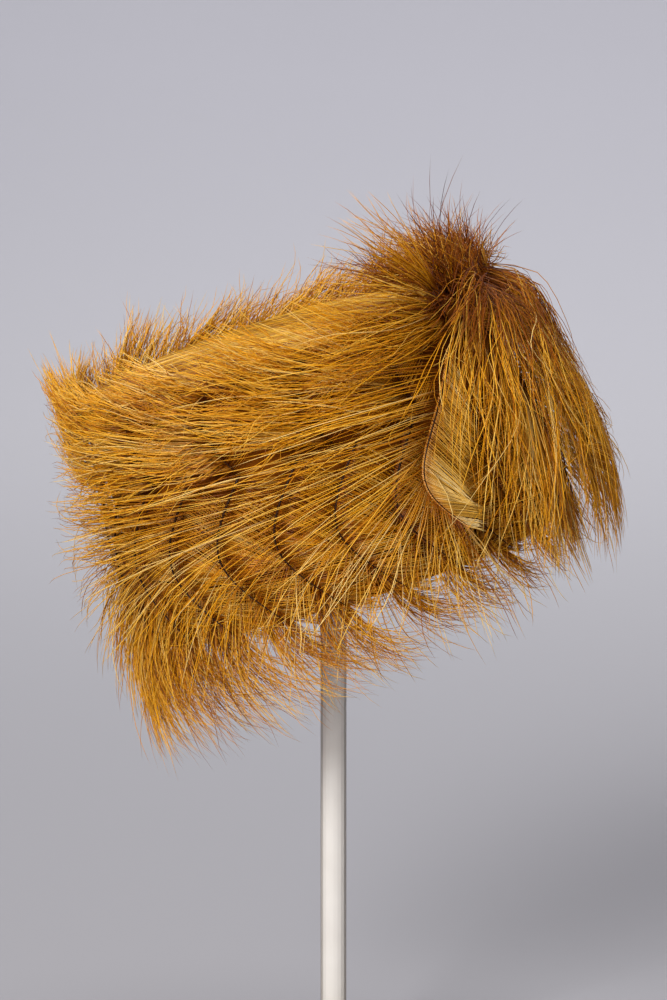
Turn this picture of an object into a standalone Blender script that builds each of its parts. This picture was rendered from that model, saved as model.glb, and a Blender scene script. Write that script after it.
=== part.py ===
"""A feather toque on a plain display stand, modelled in metres with +Z up.

The stand's base rests on Z = 0 with its pole on the Z axis. The hat leans on the stand's tilted top plate.
Everything that belongs to the hat is modelled in the hat's own frame and hung on one tilted empty: there +X
runs along the long side of the oval crown, -Y faces the front and +Z is the axis of the drum.
"""

import math

import bmesh
import bpy
from mathutils import Vector

MM = 0.001

# The stand: a turned base with a blind socket, a round pole and a tilted plate under the crown.
BASE_RADIUS = 78 * MM
BASE_HEIGHT = 12 * MM
BASE_EDGE = 1.5 * MM
SOCKET_DEPTH = 6 * MM
POLE_RADIUS = 6.35 * MM
PLATE_RADIUS = 42 * MM
PLATE_THICKNESS = 8 * MM
PLATE_EDGE = 2.5 * MM
GAP = 0.3 * MM

# The hat: where it sits, how far it leans, and the oval drum of its foundation.
HAT_CENTRE = Vector((-8 * MM, 0, 312 * MM))
HAT_LEAN = math.radians(17)
CROWN_HEIGHT = 55 * MM
CROWN_DOME = 3 * MM
BRIM_EDGE = -62 * MM
HALF_LENGTH_TOP = 101 * MM
HALF_LENGTH_BOTTOM = 105 * MM
OVAL = 0.875
CROWN_ROUND = 10 * MM
WALL = 2 * MM
FOUNDATION_SIDES = 40

# The feathers: two rings round the wall, then larger ones laid over the front and the right end.
MEAN_RADIUS = 106 * MM
SEAM_HEIGHT = 12 * MM
LOWER_COUNT = 24
LOWER_SHIFT = 2.5 * MM
UPPER_SLOTS = 14
UPPER_SHIFT = 3 * MM
SHEET = 1.7 * MM
RIB_RISE = 0.7 * MM
RIB_HALF_WIDTH = 1.3 * MM
RING_SLOPE = 0.139
RING_LIFT = 5.2 * MM
OVER_SLOPE = 0.085
ROOT_GAP = 0.35 * MM

# The hook of a quill, as a hyperbola: its bend at the outermost point and how fast it opens.
HOOK_BEND = 18 * MM
HOOK_OPEN = 0.95

# A lock of flues: how far along it each section is, and how much of its share of the sheet it fills there.
LOCK_SECTIONS = (
    {"along": 0.32, "fill": 0.95},
    {"along": 0.66, "fill": 0.80},
    {"along": 1.00, "fill": 0.0},
)

# How the flues leave a hooked quill, root to tip: share of the quill, angle from it, length and curl.
HOOKED_FLOW = (
    {"share": 0.00, "angle": 58, "length": 70, "curl": 8},
    {"share": 0.25, "angle": 60, "length": 86, "curl": 10},
    {"share": 0.50, "angle": 60, "length": 88, "curl": 14},
    {"share": 0.75, "angle": 50, "length": 74, "curl": 24},
    {"share": 1.00, "angle": 30, "length": 60, "curl": 44},
)
RIM_FLOW = (
    {"share": 0.00, "angle": 50, "length": 66, "curl": 2},
    {"share": 0.25, "angle": 58, "length": 76, "curl": 4},
    {"share": 0.50, "angle": 68, "length": 70, "curl": 4},
    {"share": 0.75, "angle": 86, "length": 58, "curl": 4},
    {"share": 1.00, "angle": 100, "length": 46, "curl": 4},
)
UPRIGHT_FLOW = (
    {"share": 0.00, "angle": 36, "length": 52, "curl": 4},
    {"share": 0.50, "angle": 40, "length": 48, "curl": 8},
    {"share": 1.00, "angle": 24, "length": 32, "curl": 10},
)
EDGE_FLOW = (
    {"share": 0.00, "angle": 70, "length": 78, "curl": 4},
    {"share": 0.50, "angle": 80, "length": 80, "curl": 4},
    {"share": 1.00, "angle": 62, "length": 66, "curl": 4},
)
FRONT_FLOW = (
    {"share": 0.00, "angle": 60, "length": 88, "curl": 6},
    {"share": 0.30, "angle": 58, "length": 98, "curl": 6},
    {"share": 0.60, "angle": 56, "length": 94, "curl": 8},
    {"share": 0.85, "angle": 44, "length": 78, "curl": 12},
    {"share": 1.00, "angle": 26, "length": 58, "curl": 16},
)
FALL_LEFT_FLOW = (
    {"share": 0.00, "angle": 38, "length": 84, "curl": 28},
    {"share": 0.40, "angle": 28, "length": 86, "curl": 16},
    {"share": 0.80, "angle": 20, "length": 66, "curl": 6},
    {"share": 1.00, "angle": 12, "length": 54, "curl": 2},
)
FALL_RIGHT_FLOW = (
    {"share": 0.00, "angle": 26, "length": 76, "curl": 22},
    {"share": 0.40, "angle": 24, "length": 82, "curl": 14},
    {"share": 0.80, "angle": 19, "length": 66, "curl": 6},
    {"share": 1.00, "angle": 12, "length": 54, "curl": 2},
)

# How much of those lengths the lower ring has at its longest, at the left end, and at its shortest.
LOWER_REACH_LONG = 1.0
LOWER_REACH_SHORT = 0.72

# Slots of the upper ring, counted from the back round the left side, that hold another flow or stay free.
UPPER_FREE = (9, 10, 11)
UPPER_UPRIGHT = (12,)

# Feathers laid over the rings: turn from the front, height of the outermost point, quill above and below it.
OVER_FEATHERS = (
    {"name": "front_feather", "turn": 22, "height": -16, "above": 54, "below": 26, "web": 18, "falls": False},
    {"name": "end_feather_1", "turn": 59, "height": 6, "above": 45, "below": 34, "web": 0, "falls": True},
    {"name": "end_feather_2", "turn": 77, "height": 6, "above": 46, "below": 34, "web": 0, "falls": True},
    {"name": "end_feather_3", "turn": 94, "height": 6, "above": 46, "below": 34, "web": 0, "falls": True},
)

# How far those lie off the wall: evenly in front, and at the right end more and more as they fall from the edge.
FRONT_LIFT = 22.5 * MM
END_LIFT = 7 * MM
END_TOP = 50 * MM
END_RISE = 0.40
END_EASE = 2.6
OVER_END_FROM = 16
OVER_END_FULL = 50

# A short hooked feather along the crown's edge, between the front feather and the crest.
EDGE_FEATHER = {"turn": 47, "height": 56, "above": 11, "below": 10, "web": 3}

# The upright tufts on the crown's edge: turn from the front, lock length, spread and lean towards the crown.
TUFTS = (
    {"name": "crest_tuft_1", "turn": 68, "length": 42, "spread": 40, "lean": -0.15},
    {"name": "crest_tuft_2", "turn": 87, "length": 54, "spread": 36, "lean": -0.05},
    {"name": "crest_tuft_3", "turn": 106, "length": 42, "spread": 40, "lean": 0.0},
    {"name": "crest_tuft_4", "turn": 139, "length": 40, "spread": 34, "lean": 0.34},
)
TUFT_ROOT = 5.5 * MM
TUFT_SEAT = math.radians(78)
TUFT_FLAT = 0.6

# The long flat feathers on the crown, side by side from the front to the back, with their ends along the oval.
CROWN_FEATHERS = (
    {"middle": -62, "left": -62, "right": 60},
    {"middle": -37, "left": -84, "right": 80},
    {"middle": -12, "left": -94, "right": 86},
    {"middle": 12, "left": -94, "right": 86},
    {"middle": 37, "left": -84, "right": 80},
    {"middle": 62, "left": -62, "right": 52},
)
CROWN_WIDTH = 30 * MM
CROWN_SLOPE = 0.09
CROWN_SHEET = 1.2 * MM
CROWN_STEPS = 8


def finish(name, bm, material, parent=None):
    """Turns a bmesh into the named object, its faces turned outwards and its round parts shaded smooth."""
    bmesh.ops.recalc_face_normals(bm, faces=bm.faces)
    if bm.calc_volume(signed=True) < 0:
        bmesh.ops.reverse_faces(bm, faces=bm.faces)
    mesh = bpy.data.meshes.new(name)
    bm.to_mesh(mesh)
    bm.free()
    mesh.shade_smooth()
    mesh.set_sharp_from_angle(angle=math.radians(35))
    mesh.materials.append(material)
    made = bpy.data.objects.new(name, mesh)
    bpy.context.scene.collection.objects.link(made)
    made.parent = parent
    return made


def material(name, colour, roughness, metallic=0.0):
    made = bpy.data.materials.new(name)
    made.use_nodes = True
    shader = made.node_tree.nodes["Principled BSDF"]
    shader.inputs["Base Color"].default_value = (*colour, 1.0)
    shader.inputs["Roughness"].default_value = roughness
    shader.inputs["Metallic"].default_value = metallic
    return made


def turned(profile, sides):
    """A solid of revolution about Z. The profile is a list of (radius, height) that starts and ends on the axis."""
    bm = bmesh.new()
    points = [bm.verts.new((radius, 0, height)) for radius, height in profile]
    edges = [bm.edges.new(pair) for pair in zip(points, points[1:])]
    bmesh.ops.spin(
        bm, geom=points + edges, cent=(0, 0, 0), axis=(0, 0, 1), angle=math.tau, steps=sides, use_duplicate=False
    )
    bmesh.ops.remove_doubles(bm, verts=bm.verts, dist=1e-6)
    return bm


def rounded_corner(radius, height, round_by, start, end, steps):
    """Points of an arc of a turned profile, centred at (radius, height), from one angle to another."""
    angles = (math.radians(start + (end - start) * k / steps) for k in range(steps + 1))
    return [(radius + round_by * math.cos(a), height + round_by * math.sin(a)) for a in angles]


def blend(rows, key, column, at):
    """A column of a table, read between its rows, which are in the order of their key."""
    for before, after in zip(rows, rows[1:]):
        if at <= after[key]:
            part = (at - before[key]) / (after[key] - before[key])
            return before[column] + (after[column] - before[column]) * part
    return rows[-1][column]


# The stand


def stand_base(acrylic):
    socket = POLE_RADIUS + GAP
    outline = [(0, BASE_HEIGHT - SOCKET_DEPTH), (socket, BASE_HEIGHT - SOCKET_DEPTH), (socket, BASE_HEIGHT)]
    outline += rounded_corner(BASE_RADIUS - BASE_EDGE, BASE_HEIGHT - BASE_EDGE, BASE_EDGE, 90, 0, 2)
    outline += [(BASE_RADIUS, BASE_EDGE / 2), (BASE_RADIUS - BASE_EDGE / 2, 0), (0, 0)]
    finish("stand_base", turned(outline, 40), acrylic)


def plate_centre():
    """Middle of the plate's underside in the hat's frame, where the pole's axis meets it."""
    height = CROWN_HEIGHT - WALL - GAP - PLATE_THICKNESS
    across = (height * math.sin(HAT_LEAN) - HAT_CENTRE.x) / math.cos(HAT_LEAN)
    return Vector((across, 0, height))


def stand_plate(acrylic, tilt):
    outline = [(0, PLATE_THICKNESS)]
    outline += rounded_corner(PLATE_RADIUS - PLATE_EDGE, PLATE_THICKNESS - PLATE_EDGE, PLATE_EDGE, 90, 0, 3)
    outline += [(PLATE_RADIUS, PLATE_EDGE / 2), (PLATE_RADIUS - PLATE_EDGE / 2, 0), (0, 0)]
    plate = finish("stand_plate", turned(outline, 28), acrylic, tilt)
    plate.location = plate_centre()


def stand_pole(acrylic):
    """The pole ends in a slanted face, which carries the tilted plate."""
    meets = plate_centre()
    top = HAT_CENTRE.z + meets.x * math.sin(HAT_LEAN) + meets.z * math.cos(HAT_LEAN) - GAP / math.cos(HAT_LEAN)
    foot = BASE_HEIGHT - SOCKET_DEPTH + GAP
    bm = bmesh.new()
    bmesh.ops.create_cone(
        bm, cap_ends=True, segments=20, radius1=POLE_RADIUS, radius2=POLE_RADIUS, depth=top - foot
    )
    bmesh.ops.translate(bm, verts=bm.verts, vec=(0, 0, (top + foot) / 2))
    for vert in bm.verts:
        if vert.co.z > BASE_HEIGHT:
            vert.co.z += vert.co.x * math.tan(HAT_LEAN)
    finish("stand_pole", bm, acrylic)


# The foundation


def wall_half_length(height):
    share = (height - BRIM_EDGE) / (CROWN_HEIGHT - BRIM_EDGE)
    return HALF_LENGTH_BOTTOM + (HALF_LENGTH_TOP - HALF_LENGTH_BOTTOM) * share


def hat_foundation(felt, tilt):
    """The oval drum under the feathers: a shallow domed crown and a side wall, open below."""
    shoulder = HALF_LENGTH_TOP - CROWN_ROUND
    outer = [(0, CROWN_HEIGHT + CROWN_DOME), (shoulder * 0.6, CROWN_HEIGHT + CROWN_DOME * 0.75)]
    outer += rounded_corner(shoulder, CROWN_HEIGHT - CROWN_ROUND, CROWN_ROUND, 90, 0, 3)
    outer += [(HALF_LENGTH_BOTTOM, BRIM_EDGE)]
    inner = [(HALF_LENGTH_BOTTOM - WALL, BRIM_EDGE)]
    inner += rounded_corner(shoulder, CROWN_HEIGHT - CROWN_ROUND, CROWN_ROUND - WALL, 0, 90, 2)
    inner += [(0, CROWN_HEIGHT - WALL)]
    bm = turned(outer + inner, FOUNDATION_SIDES)
    bmesh.ops.scale(bm, vec=(1, OVAL, 1), verts=bm.verts)
    finish("hat_foundation", bm, felt, tilt)


# The feathers on the side


def on_side(along, height, lift):
    """A point round the drum: distance along the wall from the middle of the front, height, and lift off it."""
    turn = along / MEAN_RADIUS
    half_length = wall_half_length(height)
    across = (half_length + lift) * math.sin(turn)
    deep = -(half_length * OVAL + lift) * math.cos(turn)
    return Vector((across, deep, height))


def sewn_lift(height):
    """The lift of a quill's root, which lies on the wall or on the rounded shoulder under the crown's edge."""
    over = min(max(height - (CROWN_HEIGHT - CROWN_ROUND), 0), CROWN_ROUND)
    return ROOT_GAP - CROWN_ROUND + math.sqrt(CROWN_ROUND**2 - over**2)


def hooked_quill(above, below, pieces):
    """Stations of a quill from root to tip, in the feather's own plane, with its outermost point at (0, 0)."""
    stations = []
    for k in range(pieces + 1):
        rise = above - (above + below) * k / pieces
        reach = math.hypot(HOOK_BEND, HOOK_OPEN * rise) - HOOK_BEND
        stations.append(Vector((reach, rise)))
    return stations


def falling_quill(above, below, pieces):
    """A nearly straight quill that bows a little to the right as it comes down."""
    stations = []
    for k in range(pieces + 1):
        rise = above - (above + below) * k / pieces
        stations.append(Vector((-0.12 * rise - 1.2 * rise * rise, rise)))
    return stations


def headings(stations):
    """The quill's direction at each station."""
    found = []
    for k in range(len(stations)):
        before = stations[max(k - 1, 0)]
        after = stations[min(k + 1, len(stations) - 1)]
        found.append((after - before).normalized())
    return found


def turned_by(vector, degrees):
    """A flat vector turned anticlockwise."""
    angle = math.radians(degrees)
    cos, sin = math.cos(angle), math.sin(angle)
    return Vector((vector.x * cos - vector.y * sin, vector.x * sin + vector.y * cos))


def flue(root, heading, side, flow, share, along):
    """The point at a share of the length of the flue that leaves the quill at root, as a flat circular arc."""
    angle = blend(flow, "share", "angle", share)
    length = blend(flow, "share", "length", share) * MM
    half_turn = blend(flow, "share", "curl", share) * along / 2
    chord = length * along * math.sin(math.radians(half_turn)) / math.radians(half_turn)
    return root + turned_by(heading, side * (half_turn - angle)) * chord


def grow_lock(bm, start, flues, place, reach):
    """Builds one lock out of the side of the quill, between two neighbouring flues.

    start holds the four corners it grows from: upper before and after, then lower after and before. Its
    sections fill less and less of the space between the flues, and it closes in a point.
    """
    for section in LOCK_SECTIONS:
        fill = section["fill"]
        before, after = (path(section["along"] * reach) for path in flues)
        middle = (before + after) / 2
        if fill == 0:
            tip = bm.verts.new(place(middle, 0.5))
            for k in range(4):
                bm.faces.new((start[k], start[(k + 1) % 4], tip))
            return
        before, after = middle.lerp(before, fill), middle.lerp(after, fill)
        corners = ((before, 0.95), (after, 0.95), (after, 0.05), (before, 0.05))
        ring = [bm.verts.new(place(point, level)) for point, level in corners]
        for k in range(4):
            bm.faces.new((start[k], start[(k + 1) % 4], ring[(k + 1) % 4], ring[k]))
        start = ring


def flue_paths(stations, ways, side, flow):
    """For each station of the quill, a function that gives the points of the flue that leaves it there."""
    paths = []
    for k, (centre, way) in enumerate(zip(stations, ways)):
        share = k / (len(stations) - 1)
        root = centre + Vector((way.y, -way.x)) * RIB_HALF_WIDTH * side
        paths.append(lambda along, root=root, way=way, share=share: flue(root, way, side, flow, share, along))
    return paths


def feather(name, stations, flow, web, place, colour, tilt, other_flow=None, reach=1.0):
    """One feather: a ribbed quill with a web on its right, and locks of flues on its left, or on both sides.

    stations are the quill's points from root to tip in the feather's plane. place maps a flat point and a
    level, 0 for the underside and 1 for the upper face, to the hat's frame. The root is sewn to the foundation.
    reach shortens all the flues.
    """
    bm = bmesh.new()
    ways = headings(stations)
    pieces = len(stations) - 1
    rings = []
    for k, (centre, way) in enumerate(zip(stations, ways)):
        left = Vector((way.y, -way.x))
        inner = RIB_HALF_WIDTH + web * math.sin(math.pi * (0.08 + 0.84 * k / pieces))
        outer_point = centre + left * RIB_HALF_WIDTH
        inner_point = centre - left * inner
        rise = 1 + RIB_RISE / SHEET
        flat = ((outer_point, 1), (centre, rise), (inner_point, 1), (inner_point, 0), (outer_point, 0))
        rings.append([bm.verts.new(place(point, level, sewn=k == 0)) for point, level in flat])
    bm.faces.new(rings[-1][::-1])
    bm.faces.new(rings[0])
    for ring, after in zip(rings, rings[1:]):
        for corner in range(2 if other_flow else 3):
            bm.faces.new((ring[corner], after[corner], after[corner + 1], ring[corner + 1]))
        bm.faces.new((ring[3], after[3], after[4], ring[4]))
    left_flues = flue_paths(stations, ways, 1, flow)
    right_flues = flue_paths(stations, ways, -1, other_flow)
    for k, (ring, after) in enumerate(zip(rings, rings[1:])):
        lock_reach = reach * (1 - 0.09 * (k % 2))
        grow_lock(bm, (ring[0], after[0], after[4], ring[4]), left_flues[k : k + 2], place, lock_reach)
        if other_flow:
            grow_lock(bm, (ring[2], after[2], after[3], ring[3]), right_flues[k : k + 2], place, lock_reach)
    finish(name, bm, colour, tilt)


def ring_place(along, height, flip):
    """Places a feather of a ring: its outermost point at a distance along the wall, flipped for the upper ring.

    Each sheet rises to its left, so that the next feather's flues lie over it like tiles. A sewn point lies
    on the foundation instead.
    """

    def place(point, level, sewn=False):
        level_height = height + flip * point.y
        lift = sewn_lift(level_height) if sewn else RING_LIFT - RING_SLOPE * point.x
        return on_side(along + point.x, level_height, lift + SHEET * level)

    return place


def lower_ring(colour, tilt):
    above = 35 * MM
    height = SEAM_HEIGHT - 1 * MM - above
    stations = hooked_quill(above, 38 * MM, 7)
    for k in range(LOWER_COUNT):
        along = MEAN_RADIUS * math.tau * (k / LOWER_COUNT - 0.5) + LOWER_SHIFT
        place = ring_place(along, height, 1)
        to_left = 0.5 - 0.5 * math.sin(along / MEAN_RADIUS)
        reach = LOWER_REACH_SHORT + (LOWER_REACH_LONG - LOWER_REACH_SHORT) * to_left
        name = f"lower_feather_{k + 1:02d}"
        feather(name, stations, HOOKED_FLOW, 12 * MM, place, colour, tilt, reach=reach)


def upper_ring(colour, tilt):
    root = 21 * MM
    height = SEAM_HEIGHT + 1 * MM + root
    stations = hooked_quill(root, 22 * MM, 4)
    number = 0
    for k in range(UPPER_SLOTS):
        if k in UPPER_FREE:
            continue
        number += 1
        flow = UPRIGHT_FLOW if k in UPPER_UPRIGHT else RIM_FLOW
        along = MEAN_RADIUS * math.tau * (k / UPPER_SLOTS - 0.5) + UPPER_SHIFT
        place = ring_place(along, height, -1)
        feather(f"upper_feather_{number:02d}", stations, flow, 7 * MM, place, colour, tilt)
    row = EDGE_FEATHER
    stations = hooked_quill(row["above"] * MM, row["below"] * MM, 4)
    place = ring_place(MEAN_RADIUS * math.radians(row["turn"]), row["height"] * MM, -1)
    feather("edge_feather", stations, EDGE_FLOW, row["web"] * MM, place, colour, tilt)


def over_lift(turn, height):
    drop = max(END_TOP - height, 0)
    end = END_LIFT + END_RISE * drop - END_EASE * drop * drop
    part = (turn - OVER_END_FROM) / (OVER_END_FULL - OVER_END_FROM)
    return FRONT_LIFT + (end - FRONT_LIFT) * min(max(part, 0), 1)


def over_place(along, height):
    """Places a feather that lies over the two rings, with the same tiling but a gentler rise."""

    def place(point, level, sewn=False):
        turn = math.degrees((along + point.x) / MEAN_RADIUS)
        level_height = height + point.y
        lift = sewn_lift(level_height) if sewn else over_lift(turn, level_height) - OVER_SLOPE * point.x
        return on_side(along + point.x, level_height, lift + SHEET * level)

    return place


def over_feathers(colour, tilt):
    for row in OVER_FEATHERS:
        above, below = row["above"] * MM, row["below"] * MM
        place = over_place(MEAN_RADIUS * math.radians(row["turn"]), row["height"] * MM)
        if row["falls"]:
            stations = falling_quill(above, below, 5)
            feather(row["name"], stations, FALL_LEFT_FLOW, 0, place, colour, tilt, FALL_RIGHT_FLOW)
        else:
            stations = hooked_quill(above, below, 7)
            feather(row["name"], stations, FRONT_FLOW, row["web"] * MM, place, colour, tilt)


# The tufts and the crown


def tuft(row, colour, tilt):
    """Locks that stand up in a fan out of one small round root, which sits on the crown's rounded edge."""
    bm = bmesh.new()
    bmesh.ops.create_icosphere(bm, subdivisions=2, radius=TUFT_ROOT)
    bmesh.ops.delete(bm, geom=[f for f in bm.faces if f.calc_center_median().z > 0.55 * TUFT_ROOT], context="FACES")
    rim = [edge for edge in bm.edges if edge.is_boundary]
    cap = bmesh.ops.contextual_create(bm, geom=rim)["faces"]
    wedges = bmesh.ops.poke(bm, faces=cap)["faces"]
    wedges.sort(key=lambda f: math.atan2(f.calc_center_median().y, f.calc_center_median().x))
    turn = math.radians(row["turn"])
    outwards = Vector((math.sin(turn), -math.cos(turn), 0))
    arm = CROWN_ROUND + TUFT_ROOT + GAP
    inset = CROWN_ROUND - arm * math.cos(TUFT_SEAT)
    across = (HALF_LENGTH_TOP - inset) * outwards.x
    deep = (HALF_LENGTH_TOP * OVAL - inset) * outwards.y
    up = CROWN_HEIGHT - CROWN_ROUND + arm * math.sin(TUFT_SEAT)
    for k, face in enumerate(wedges):
        way = math.atan2(face.calc_center_median().y, face.calc_center_median().x)
        lean = math.radians(row["spread"]) * (0.6 + 0.4 * math.cos(way) ** 2)
        length = row["length"] * MM * (0.8 + 0.2 * math.cos(2.4 * k))
        fan = Vector((math.cos(way), TUFT_FLAT * math.sin(way), 0)) * math.sin(lean)
        aim = fan + Vector((0, 0, math.cos(lean))) - outwards * row["lean"]
        for share, narrow in ((0.35, 0.92), (0.4, 0.75)):
            face = bmesh.ops.extrude_discrete_faces(bm, faces=[face])["faces"][0]
            centre = face.calc_center_median()
            for vert in face.verts:
                vert.co = centre + (vert.co - centre) * narrow + aim * length * share
        tip = bmesh.ops.extrude_discrete_faces(bm, faces=[face])["faces"][0]
        bmesh.ops.pointmerge(bm, verts=tip.verts, merge_co=tip.calc_center_median() + aim * length * 0.25)
    bmesh.ops.translate(bm, verts=bm.verts, vec=(across, deep, up))
    finish(row["name"], bm, colour, tilt)


def crown_feathers(colour, tilt):
    """Long leaf-shaped feathers laid along the crown, each tipped so that it overlaps the one before it."""
    for number, row in enumerate(CROWN_FEATHERS):
        bm = bmesh.new()
        rings = []
        for k in range(CROWN_STEPS + 1):
            share = -1 + 2 * k / CROWN_STEPS
            along = (row["left"] + (row["right"] - row["left"]) * k / CROWN_STEPS) * MM
            half = CROWN_WIDTH / 2 * max(1 - share * share, 0.05) ** 0.45
            ring = []
            for side, level in ((-1, 1), (0, 1.5), (1, 1), (1, 0), (-1, 0)):
                deep = row["middle"] * MM + side * half
                rise = CROWN_DOME * max(0, 1 - (along / HALF_LENGTH_TOP) ** 2 - (deep / HALF_LENGTH_TOP) ** 2)
                tip = CROWN_SLOPE * (side * half + CROWN_WIDTH / 2)
                ring.append(bm.verts.new((along, deep, CROWN_HEIGHT + ROOT_GAP + rise + tip + CROWN_SHEET * level)))
            rings.append(ring)
        for ring, after in zip(rings, rings[1:]):
            for corner in range(5):
                other = (corner + 1) % 5
                bm.faces.new((ring[corner], after[corner], after[other], ring[other]))
        bm.faces.new(rings[0])
        bm.faces.new(rings[-1][::-1])
        finish(f"crown_feather_{number + 1}", bm, colour, tilt)


def main():
    for old in list(bpy.data.objects):
        bpy.data.objects.remove(old)
    gold = material("dyed_feather_gold", (0.42, 0.19, 0.02), 0.55)
    rust = material("dyed_feather_rust", (0.25, 0.09, 0.01), 0.6)
    straw = material("dyed_feather_straw", (0.50, 0.28, 0.06), 0.45)
    felt = material("foundation_felt", (0.22, 0.12, 0.03), 0.9)
    acrylic = material("cast_acrylic", (0.60, 0.57, 0.53), 0.25)
    tilt = bpy.data.objects.new("hat_tilt", None)
    bpy.context.scene.collection.objects.link(tilt)
    tilt.location = HAT_CENTRE
    tilt.rotation_euler = (0, -HAT_LEAN, 0)
    stand_base(acrylic)
    stand_pole(acrylic)
    stand_plate(acrylic, tilt)
    hat_foundation(felt, tilt)
    lower_ring(gold, tilt)
    upper_ring(gold, tilt)
    over_feathers(gold, tilt)
    for row in TUFTS:
        tuft(row, rust, tilt)
    crown_feathers(straw, tilt)


main()
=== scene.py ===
# %% [markdown]
# # A feather toque on a display pole
# This toque is a stiff oval drum with long dyed feathers sewn on it in rings. The solids of its
# foundation and stand come ready made, and every feather is grown here again, flue by flue, where its
# solid stands.

# %% Load the frame
import math

import bpy
import numpy as np
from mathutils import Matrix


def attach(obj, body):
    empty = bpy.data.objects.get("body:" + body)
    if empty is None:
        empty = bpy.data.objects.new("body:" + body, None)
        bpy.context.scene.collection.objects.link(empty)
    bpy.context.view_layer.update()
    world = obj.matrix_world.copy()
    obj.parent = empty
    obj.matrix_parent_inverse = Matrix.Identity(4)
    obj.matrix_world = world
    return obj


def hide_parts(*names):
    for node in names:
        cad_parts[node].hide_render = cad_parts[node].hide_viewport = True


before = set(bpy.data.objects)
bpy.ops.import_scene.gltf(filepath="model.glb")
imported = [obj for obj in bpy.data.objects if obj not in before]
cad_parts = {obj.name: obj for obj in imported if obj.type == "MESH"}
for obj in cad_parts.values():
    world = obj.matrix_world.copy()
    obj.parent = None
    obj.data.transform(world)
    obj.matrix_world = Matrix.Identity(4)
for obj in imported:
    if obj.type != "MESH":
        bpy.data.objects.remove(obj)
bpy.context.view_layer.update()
bpy.ops.object.select_all(action="DESELECT")
MM = 0.001
chance = np.random.default_rng(11)
print("frame nodes:", len(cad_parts))

# %% [markdown]
# ## The oval drum
# Each feather is laid out flat, as on a table, and then wrapped on the drum. A flat point has a
# distance along the wall and a height, and its lift says how far it stands off the wall. These are
# the sizes of the drum, the lean of the hat on its pole, and the function that wraps whole arrays of
# points at once.

# %% Wrap flat points on the drum
HAT_CENTRE = np.array([-8, 0, 312]) * MM
HAT_LEAN = math.radians(17)
CROWN_HEIGHT = 55 * MM
CROWN_DOME = 3 * MM
BRIM_EDGE = -62 * MM
HALF_LENGTH_TOP = 101 * MM
HALF_LENGTH_BOTTOM = 105 * MM
OVAL = 0.875
MEAN_RADIUS = 106 * MM


def on_wall(along, height, lift):
    """Points at these ways along the wall, heights and lifts off it, on the upright hat."""
    turn = along / MEAN_RADIUS
    share = (height - BRIM_EDGE) / (CROWN_HEIGHT - BRIM_EDGE)
    half = HALF_LENGTH_BOTTOM + (HALF_LENGTH_TOP - HALF_LENGTH_BOTTOM) * share
    return np.stack([(half + lift) * np.sin(turn), -(half * OVAL + lift) * np.cos(turn), height], axis=-1)


def lean(points):
    """Turns points of the upright hat to where it leans on its stand."""
    cos, sin = math.cos(HAT_LEAN), math.sin(HAT_LEAN)
    x, y, z = points[..., 0], points[..., 1], points[..., 2]
    return np.stack([x * cos - z * sin, y, x * sin + z * cos], axis=-1) + HAT_CENTRE


print("way round the wall, mm:", round(math.tau * MEAN_RADIUS / MM))

# %% [markdown]
# ## Colours and nodes
# Colours are written as the hex values that a paint program shows and turned to linear light in one
# place. One small function adds any node with its settings and links, so that each material below
# reads as a list.

# %% Helpers for materials
# A Mix node has sockets of the same name for each kind of data, so the ones for colours go by number.
MIX_FACTOR, MIX_A, MIX_B, MIX_RESULT = 0, 6, 7, 2


def linear(code):
    """An sRGB hex value as linear red, green, blue and alpha."""
    parts = [int(code[k : k + 2], 16) / 255 for k in (1, 3, 5)]
    parts = [p / 12.92 if p <= 0.04045 else ((p + 0.055) / 1.055) ** 2.4 for p in parts]
    return (*parts, 1.0)


def add(tree, kind, links=None, stops=(), **settings):
    """Adds a node.

    Settings are its own properties, and links sets its sockets to values or to other outputs. stops are
    the (position, hex) pairs of a colour ramp, which starts with two.
    """
    node = tree.nodes.new(kind)
    for key, value in settings.items():
        setattr(node, key, value)
    for key, value in (links or {}).items():
        if isinstance(value, bpy.types.NodeSocket):
            tree.links.new(value, node.inputs[key])
        else:
            node.inputs[key].default_value = value
    for _ in stops[2:]:
        node.color_ramp.elements.new(0.5)
    for number, (position, code) in enumerate(stops):
        node.color_ramp.elements[number].position = position
        node.color_ramp.elements[number].color = linear(code)
    return node


def new_material(name):
    made = bpy.data.materials.new(name)
    made.use_nodes = True
    return made, made.node_tree, made.node_tree.nodes["Principled BSDF"]


print("mid grey in linear light:", round(linear("#808080")[0], 3))

# %% [markdown]
# ## Dyed feather
# A flue is a thread of keratin, the stuff of hair, about a third of a millimetre thick. It is drawn
# about half a millimetre thick at its root, because a real one is too fine to show. Dye takes
# unevenly, so each flue has a tone of its own, from rust to straw, and it is darker at its root,
# where it is thicker and lies in the shade of its neighbours. Both come from the flue's own map:
# across it is the tone, along it the length.

# %% Make the feather materials


def dyed_feather(name, stops, roughness, root_shade):
    """Flues are dyed keratin with a soft sheen: a little gloss, spread wide."""
    made, tree, shader = new_material(name)
    strand = add(tree, "ShaderNodeUVMap", uv_map="strand")
    axes = add(tree, "ShaderNodeSeparateXYZ", {"Vector": strand.outputs["UV"]})
    colour = add(tree, "ShaderNodeValToRGB", {"Fac": axes.outputs["X"]}, stops)
    shades = ((0.0, root_shade), (0.30, "#E6E0DA"), (0.75, "#FFFFFF"))
    shade = add(tree, "ShaderNodeValToRGB", {"Fac": axes.outputs["Y"]}, shades)
    both = add(
        tree,
        "ShaderNodeMix",
        {MIX_FACTOR: 1.0, MIX_A: colour.outputs["Color"], MIX_B: shade.outputs["Color"]},
        data_type="RGBA",
        blend_type="MULTIPLY",
    )
    tree.links.new(both.outputs[MIX_RESULT], shader.inputs["Base Color"])
    shader.inputs["Roughness"].default_value = roughness
    shader.inputs["IOR"].default_value = 1.45
    shader.inputs["Specular IOR Level"].default_value = 0.28
    return made


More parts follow.
